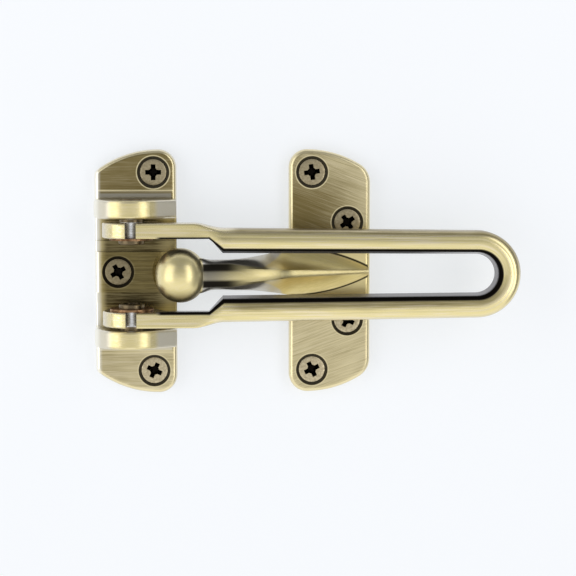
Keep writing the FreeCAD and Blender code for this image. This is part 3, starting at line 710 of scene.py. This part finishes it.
SLOT_TOP = (0.00242, 0.00070, 0.0002)
SLOT_FLOOR = (0.00105, 0.00040, -0.0019)
HOLLOW_TOP_RADIUS = 0.00205
HOLLOW_FLOOR_RADIUS = 0.00060
HOLLOW_DEPTH = 0.0014
HOLLOW_MIDDLE_Z = -0.0005


def recess_blade(turn):
    """One tapered slot of the recess."""
    bm = bmesh.new()
    bmesh.ops.create_cube(bm, size=2.0)
    for corner in bm.verts:
        half_length, half_width, z = SLOT_TOP if corner.co.z > 0.0 else SLOT_FLOOR
        corner.co.x *= half_length
        corner.co.y *= half_width
        corner.co.z = z
    turn_about_z(bm, turn)
    return bm


def recess_hollow():
    """The four-sided hollow that breaks the corners between the slots."""
    bm = bmesh.new()
    bmesh.ops.create_cone(bm, cap_ends=True, segments=4, radius1=HOLLOW_FLOOR_RADIUS,
                          radius2=HOLLOW_TOP_RADIUS, depth=HOLLOW_DEPTH)
    bmesh.ops.translate(bm, verts=bm.verts, vec=(0.0, 0.0, HOLLOW_MIDDLE_Z))
    return bm


def cut_recess(blank):
    """The blank with two crossing tapered slots and the hollow between them sunk in its head."""
    holder = bpy.data.objects.new("screw_blank", blank)
    bpy.context.scene.collection.objects.link(holder)
    blades = []
    for bm in (recess_blade(0.0), recess_blade(90.0), recess_hollow()):
        blade = bpy.data.objects.new("recess_blade", piece_mesh("recess_blade", bm))
        bpy.context.scene.collection.objects.link(blade)
        blades.append(blade)
        cut = holder.modifiers.new("recess", "BOOLEAN")
        cut.operation = "DIFFERENCE"
        cut.solver = "EXACT"
        cut.object = blade
    cut_holder = holder.evaluated_get(bpy.context.evaluated_depsgraph_get())
    cut_mesh = bpy.data.meshes.new_from_object(cut_holder)
    for helper in [holder] + blades:
        bpy.data.objects.remove(helper)
    return cut_mesh


THREAD_RIDGE = ((1.20, -4.4), (1.20, -5.4), (1.88, -4.9))
THREAD_PITCH = 1.5
THREAD_STEPS = 20
THREAD_TURNS = 16.0
TIP_Z = -0.0298
TIP_RUN = 0.0048
TIP_SHARE = 0.06
RUNOUT_Z = -0.0046
RUNOUT_RUN = 0.0040
RUNOUT_SHARE = 0.62
CORE_REACH = 0.0014


def wind_thread(bm):
    """One ridge wound round the core as a helix, running out at the shank and at the tip."""
    ridge = profile_corners(bm, THREAD_RIDGE)
    edges = [bm.edges.new((ridge[i - 1], ridge[i])) for i in range(len(ridge))]
    core = set(bm.verts) - set(ridge)
    bmesh.ops.spin(bm, geom=ridge + edges, cent=ORIGIN, axis=UPRIGHT,
                   dvec=(0.0, 0.0, -THREAD_PITCH / MILLIMETRES / THREAD_STEPS),
                   angle=2.0 * math.pi * THREAD_TURNS, steps=int(THREAD_STEPS * THREAD_TURNS))
    wound = [v for v in bm.verts if v not in core]
    for v in wound:
        share = min(1.0, max(TIP_SHARE, (v.co.z - TIP_Z) / TIP_RUN))
        if math.hypot(v.co.x, v.co.y) > CORE_REACH:
            share = min(share, RUNOUT_SHARE + max(0.0, RUNOUT_Z - v.co.z) / RUNOUT_RUN)
        v.co.x *= share
        v.co.y *= share
    ends = {e for v in wound for e in v.link_edges if len(e.link_faces) == 1}
    bmesh.ops.holes_fill(bm, edges=list(ends), sides=3)


HEAD_FACE_Z = 0.003621
FRAME_SCREW_TURNS = (0.0, 30.0, 65.0)
DOOR_SCREW_TURNS = (8.0, 35.0, 62.0, 25.0)


def drive_screws(name, places, turns, pattern, material):
    """The screws of one plate as one piece, standing in for the plain ones of the build."""
    bm = bmesh.new()
    for (x, y), turn in zip(places, turns):
        one = bmesh.new()
        one.from_mesh(pattern)
        wind_thread(one)
        turn_about_z(one, turn)
        bmesh.ops.translate(one, verts=one.verts, vec=(x, y, HEAD_FACE_Z))
        placed = bpy.data.meshes.new("placed_screw")
        one.to_mesh(placed)
        one.free()
        bm.from_mesh(placed)
        bpy.data.meshes.remove(placed)
    mesh = piece_mesh(name + "_threaded", bm)
    mesh.materials.append(material)
    piece = bpy.data.objects.new(name + "_threaded", mesh)
    bpy.context.scene.collection.objects.link(piece)
    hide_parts(name)
    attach(piece, "fixed_parts")


screw_brass = screw_metal()
screw_pattern = cut_recess(lathe_screw())
drive_screws("frame_screws", FRAME_SCREWS, FRAME_SCREW_TURNS, screw_pattern, screw_brass)
drive_screws("door_screws", DOOR_SCREWS, DOOR_SCREW_TURNS, screw_pattern, screw_brass)


# The stage: a pale painted board that both plates lie on, in a white room that is brighter
# towards -Y and dark towards +X, with a soft box on the left and one on the right, seen from
# above as in the photograph.

BOARD_HALF = 1.5
BOARD_PLACE = (0.05, 0.0, -0.00005)
BOARD_PAINT = (0.48, 0.47, 0.475, 1.0)
BOARD_WHITE = (0.92, 0.97, 1.0, 1.0)
BOARD_GLOW = 0.56
BOARD_ROUGHNESS = 0.9

bm = bmesh.new()
bmesh.ops.create_grid(bm, x_segments=1, y_segments=1, size=BOARD_HALF)
bmesh.ops.translate(bm, vec=Vector(BOARD_PLACE), verts=bm.verts)
board_mesh = bpy.data.meshes.new("board")
bm.to_mesh(board_mesh)
bm.free()
board = bpy.data.objects.new("board", board_mesh)
bpy.context.scene.collection.objects.link(board)
pale = bpy.data.materials.new("pale_board")
pale.use_nodes = True
pale_tree = pale.node_tree
pale_shader = pale_tree.nodes["Principled BSDF"]
rays = add_node(pale_tree, "ShaderNodeLightPath").outputs
seen = larger(pale_tree, rays["Is Camera Ray"], rays["Is Glossy Ray"], rays["Is Transmission Ray"])
set_input(pale_shader, "Base Color", BOARD_PAINT)
set_input(pale_shader, "Emission Color", BOARD_WHITE)
link(pale_tree, product(pale_tree, seen, BOARD_GLOW), pale_shader.inputs["Emission Strength"])
set_input(pale_shader, "Roughness", BOARD_ROUGHNESS)
set_input(pale_shader, "Specular IOR Level", 0.0)
board_mesh.materials.append(pale)

ROOM_WHITE = (1.00, 1.01, 1.03)
ROOM_GREY = (0.33, 0.34, 0.37)
ROOM_DARK = (0.14, 0.15, 0.17)
ROOM_UPWARDS = (-0.70, 0.70)
ROOM_RIGHT = (0.66, 0.84, 0.0, 0.75)

world = bpy.data.worlds.new("studio")
bpy.context.scene.world = world
world.use_nodes = True
room = world.node_tree
towards = parts_of(room, add_node(room, "ShaderNodeTexCoord").outputs["Generated"])
walls = mix_colour(room, ramp(room, towards[1], *ROOM_UPWARDS), ROOM_WHITE, ROOM_GREY)
walls = mix_colour(room, ramp(room, towards[0], *ROOM_RIGHT), walls, ROOM_DARK)
link(room, walls, room.nodes["Background"].inputs["Color"])
set_input(room.nodes["Background"], "Strength", 1.0)

BOX_AIM = Vector((0.04, 0.0, 0.0))
BOX_LENGTH = 1.1


def put_and_aim(holder, place, aim):
    """Put a lamp or the camera at place, turned towards aim with Y upwards."""
    ahead = (aim - place).normalized()
    across = ahead.cross(Vector((0.0, 1.0, 0.0))).normalized()
    holder.location = place
    holder.rotation_mode = "QUATERNION"
    holder.rotation_quaternion = Matrix((across, across.cross(ahead), -ahead)).transposed().to_quaternion()
    bpy.context.scene.collection.objects.link(holder)


def soft_box(name, place, width, power):
    lamp = bpy.data.lights.new(name, "AREA")
    lamp.shape = "RECTANGLE"
    lamp.size = width
    lamp.size_y = BOX_LENGTH
    lamp.energy = power
    put_and_aim(bpy.data.objects.new(name, lamp), Vector(place), BOX_AIM)


soft_box("left_box", place=(-0.72, 0.20, 0.50), width=0.70, power=2.5)
soft_box("right_box", place=(0.64, 0.20, 0.68), width=0.40, power=1.9)

CAMERA_PLACE = Vector((0.018, 0.043, 0.500))
CAMERA_AIM = Vector((0.0438, -0.0052, 0.0))
VIEW_WIDTH = 0.1672
SENSOR_WIDTH = 36.0

lens = bpy.data.cameras.new("photo_view")
lens.sensor_width = SENSOR_WIDTH
lens.lens = SENSOR_WIDTH * (CAMERA_AIM - CAMERA_PLACE).length / VIEW_WIDTH
camera = bpy.data.objects.new("photo_view", lens)
put_and_aim(camera, CAMERA_PLACE, CAMERA_AIM)
bpy.context.scene.camera = camera
bpy.context.scene.view_settings.view_transform = "Standard"
